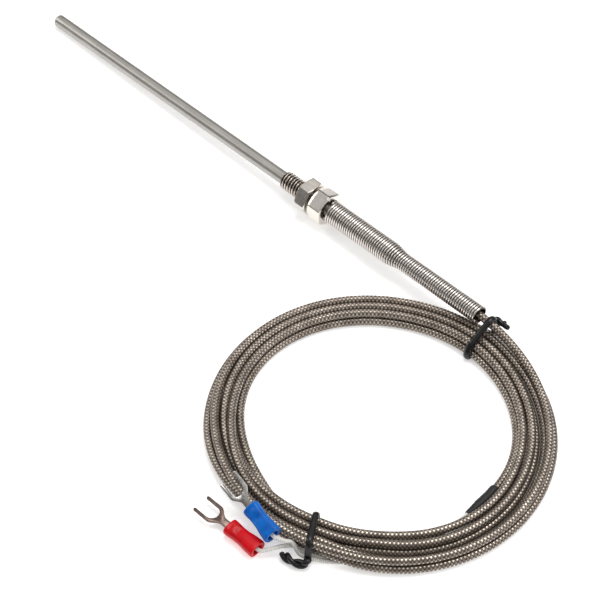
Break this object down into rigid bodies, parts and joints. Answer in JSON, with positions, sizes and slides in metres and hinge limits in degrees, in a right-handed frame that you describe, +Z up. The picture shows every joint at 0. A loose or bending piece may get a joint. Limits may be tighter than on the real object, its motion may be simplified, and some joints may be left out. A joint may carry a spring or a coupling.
{
  "type": "thermocouple",
  "caption": "Screw-in sheathed thermocouple probe with hexagon fitting, lock nut, spring strain relief, coiled braided cable and fork terminals.",
  "frame": {"origin": "under the middle of the probe and its spring, on the surface that the part lies on", "axes": "+X along the probe, from its tip towards the cable; +Z up from the surface that it lies on; the coil is at -Y of the probe's rear end"},
  "size_m": [0.2302, 0.1072, 0.0117],
  "materials": {
    "satin_stainless": "satin, drawn lengthwise",
    "nickel_plate": "satin nickel plate",
    "spring_steel": "bright drawn wire",
    "welded_junction": "as welded",
    "positive_alloy": "drawn wire",
    "negative_alloy": "drawn wire",
    "tinned_copper": "tinned",
    "alumina": "unglazed ceramic",
    "potting_cement": "cured cement",
    "steel_braid": "woven stainless wire",
    "glass_yarn": "braided glass yarn",
    "black_plastic": "soft black plastic",
    "red_vinyl": "satin vinyl",
    "blue_vinyl": "satin vinyl",
    "tinned_fork": "tin plate"
  },
  "bodies": {
    "probe": {"probe_sheath": "satin_stainless", "hot_junction_bead": "welded_junction", "positive_wire": "positive_alloy", "negative_wire": "negative_alloy", "ceramic_insulator_1": "alumina", "ceramic_insulator_2": "alumina", "ceramic_insulator_3": "alumina", "ceramic_insulator_4": "alumina", "sheath_end_seal": "potting_cement", "retaining_collar": "satin_stainless", "transition_sleeve": "satin_stainless", "cable_potting": "potting_cement", "splice_positive": "tinned_copper", "splice_negative": "tinned_copper", "cable_core_positive": "positive_alloy", "cable_core_negative": "negative_alloy", "strain_relief_spring": "spring_steel", "cable_in_spring": "steel_braid", "cable_tail": "steel_braid", "cable_coil": "steel_braid", "cable_end": "steel_braid", "breakout_sleeve": "black_plastic", "lead_positive_start": "glass_yarn", "lead_negative_start": "glass_yarn", "lead_positive": "glass_yarn", "lead_negative": "glass_yarn", "terminal_sleeve_red": "red_vinyl", "terminal_sleeve_blue": "blue_vinyl", "fork_terminal_red": "tinned_fork", "fork_terminal_blue": "tinned_fork", "twist_tie_upper": "black_plastic", "twist_tie_lower": "black_plastic"},
    "fitting": {"threaded_fitting": "nickel_plate", "gland_ring": "nickel_plate"},
    "lock_nut": {"lock_nut": "nickel_plate"}
  },
  "joints": [
    {"name": "fitting_swivel", "type": "hinge", "parent": "probe", "child": "fitting", "pos_m": [0.02429, 0, 0.00586], "axis": [0.9994, 0, 0.0342], "range_deg": [-326, 2918]},
    {"name": "lock_nut_travel", "type": "slide", "parent": "probe", "child": "lock_nut", "axis": [-0.9994, 0, -0.0342], "range_m": [-0.0009, 0.0081]}
  ],
  "couplings": [
    {"joint": "fitting_swivel", "follows": "lock_nut_travel", "rad_per_m": 6283.2}
  ]
}
